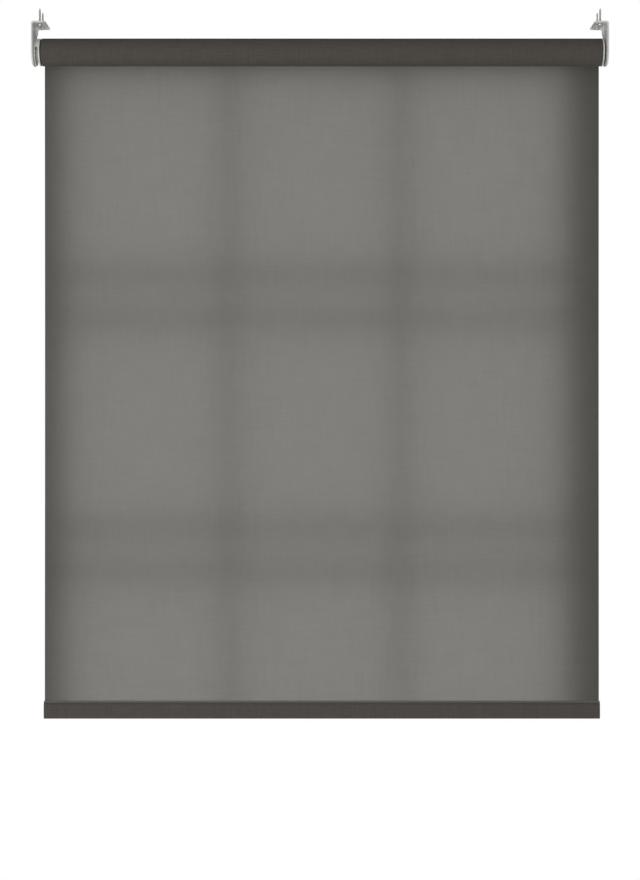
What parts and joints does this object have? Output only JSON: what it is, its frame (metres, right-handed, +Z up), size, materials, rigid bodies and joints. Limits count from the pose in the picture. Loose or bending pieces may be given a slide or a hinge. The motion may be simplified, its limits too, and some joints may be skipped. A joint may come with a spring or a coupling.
{
  "type": "roller blind",
  "caption": "Ceiling-fixed roller blind: fabric wound on a tube between two L brackets, with a side chain-control unit, a sprung idle pin and a weighted bottom bar.",
  "frame": {"origin": "on the ceiling plane that the brackets' top plates touch, at mid width, straight above the roller's axis", "axes": "+X along the width from the control side to the idle side, +Y from the room towards the window, +Z up"},
  "size_m": [0.9, 0.058, 1.1173],
  "materials": {
    "bracket_plastic": "off-white moulded acetal, satin, slightly milky",
    "dark_plastic": "black moulded nylon",
    "spring_steel": "drawn spring wire",
    "zinc_steel": "bright zinc plate",
    "aluminium": "mill-finish extrusion",
    "blind_fabric": "plain-woven polyester, coated, dark warm grey, lets some light through",
    "spline_plastic": "natural extruded strip",
    "cap_plastic": "dark grey moulded plastic"
  },
  "bodies": {
    "brackets": {"control_bracket": "bracket_plastic", "idle_bracket": "bracket_plastic", "control_screw_front": "zinc_steel", "control_screw_rear": "zinc_steel", "idle_screw_front": "zinc_steel", "idle_screw_rear": "zinc_steel", "control_core": "bracket_plastic", "chain_guard": "bracket_plastic", "core_washer": "zinc_steel", "core_screw": "zinc_steel", "fabric_sheet": "blind_fabric"},
    "roller": {"drive_plug": "dark_plastic", "roller_tube": "aluminium", "fabric_spline": "spline_plastic", "fabric_roll": "blind_fabric", "idle_plug": "bracket_plastic", "idle_spring_retainer": "dark_plastic", "idle_pin_spring": "spring_steel", "wrap_spring_outer": "spring_steel", "wrap_spring_inner": "spring_steel"},
    "chain_wheel": {"chain_wheel": "bracket_plastic"},
    "idle_pin": {"idle_pin": "zinc_steel"},
    "bottom_bar": {"bottom_pocket": "blind_fabric", "bottom_lath": "aluminium", "control_bar_cap": "cap_plastic", "idle_bar_cap": "cap_plastic"}
  },
  "joints": [
    {"name": "roller_spin", "type": "hinge", "parent": "brackets", "child": "roller", "pos_m": [0, 0, -0.0438], "axis": [1, 0, 0], "range_deg": [0, 2457]},
    {"name": "chain_wheel_spin", "type": "hinge", "parent": "brackets", "child": "chain_wheel", "pos_m": [-0.4428, 0, -0.0438], "axis": [1, 0, 0], "range_deg": [0, 2457]},
    {"name": "bottom_bar_lift", "type": "slide", "parent": "brackets", "child": "bottom_bar", "axis": [0, 0, 1], "range_m": [0, 0.99], "deforming": ["fabric_sheet"]},
    {"name": "idle_pin_press", "type": "slide", "parent": "roller", "child": "idle_pin", "axis": [-1, 0, 0], "range_m": [0, 0.006], "stiffness_N_per_m": 300, "springref_m": -0.008, "deforming": ["idle_pin_spring"]}
  ],
  "couplings": [
    {"joint": "bottom_bar_lift", "follows": "roller_spin", "m_per_rad": 0.023086},
    {"joint": "chain_wheel_spin", "follows": "roller_spin", "ratio": 1}
  ]
}
